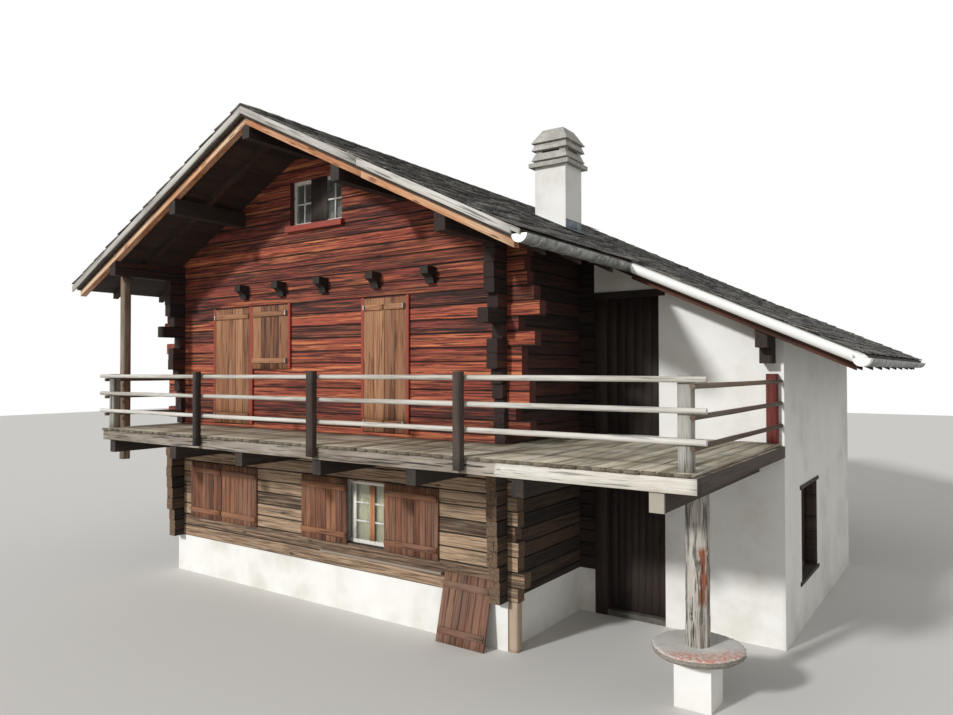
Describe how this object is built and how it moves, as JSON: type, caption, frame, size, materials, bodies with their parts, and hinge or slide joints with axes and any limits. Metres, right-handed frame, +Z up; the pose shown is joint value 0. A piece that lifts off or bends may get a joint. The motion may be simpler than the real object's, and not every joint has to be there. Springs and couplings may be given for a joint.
{
  "type": "alpine chalet",
  "caption": "Alpine log chalet with notched corners, rendered plinth and annex, railed terrace on a mushroom-stone post, slated gable roof with drawn-out slope, chimney and a hinged door.",
  "frame": {"origin": "front right corner of the log block at ground level, on the flat base", "axes": "+X along the front towards the annex, +Y into the house along the ridge, +Z up"},
  "size_m": [12.135, 11.37, 7.635],
  "materials": {
    "grey_stone": "rough",
    "white_render": "lime render, floated",
    "weathered_logs": "squared logs, weathered grey-brown",
    "sunburnt_logs": "squared logs, sun-burnt red-brown",
    "roof_slate": "split slate",
    "grey_boards": "weathered silver-grey",
    "zinc": "dull zinc sheet",
    "grey_concrete": "weathered concrete",
    "clear_glass": "clear",
    "white_painted_timber": "painted white",
    "brown_boards": "brown stain, weathered",
    "orange_pine": "orange-brown stain",
    "forged_iron": "black",
    "dark_timber": "dark, weathered"
  },
  "bodies": {
    "house": {"ground_floor": "grey_stone", "plinth_front_back": "white_render", "plinth_sides": "white_render", "ground_front_wall": "weathered_logs", "ground_back_wall": "weathered_logs", "ground_side_walls": "weathered_logs", "upper_front_wall": "sunburnt_logs", "upper_back_wall": "sunburnt_logs", "upper_side_walls": "sunburnt_logs", "upper_floor": "grey_boards", "attic_joists": "dark_timber", "attic_floor": "grey_boards", "purlins": "dark_timber", "rafters": "orange_pine", "fly_rafters": "orange_pine", "roof_left_slope": "roof_slate", "roof_right_slope": "roof_slate", "annex_roof": "roof_slate", "verge_boards": "grey_boards", "gutters": "zinc", "chimney_stack": "white_render", "chimney_flashing": "zinc", "chimney_cap": "grey_concrete", "annex_front_left": "dark_timber", "annex_front_over_door": "white_render", "annex_front_right": "white_render", "annex_right_wall": "white_render", "annex_back_wall": "white_render", "annex_timbers": "dark_timber", "window_frames": "white_painted_timber", "window_glass": "clear_glass", "shutters": "brown_boards", "casings_and_sills": "brown_boards", "upper_door": "brown_boards", "deck_boards": "grey_boards", "deck_joists": "grey_boards", "deck_beams": "dark_timber", "railing_posts": "dark_timber", "rails": "grey_boards", "support_posts": "dark_timber", "mushroom_stone": "grey_stone", "pier": "white_render", "plank_hatch": "brown_boards", "ground_door_pintles": "forged_iron"},
    "door_leaf": {"ground_door": "brown_boards"}
  },
  "joints": [
    {"name": "ground_door_swing", "type": "hinge", "parent": "house", "child": "door_leaf", "pos_m": [0.47, 2.184, 1], "axis": [0, 0, 1], "range_deg": [0, 95]}
  ]
}
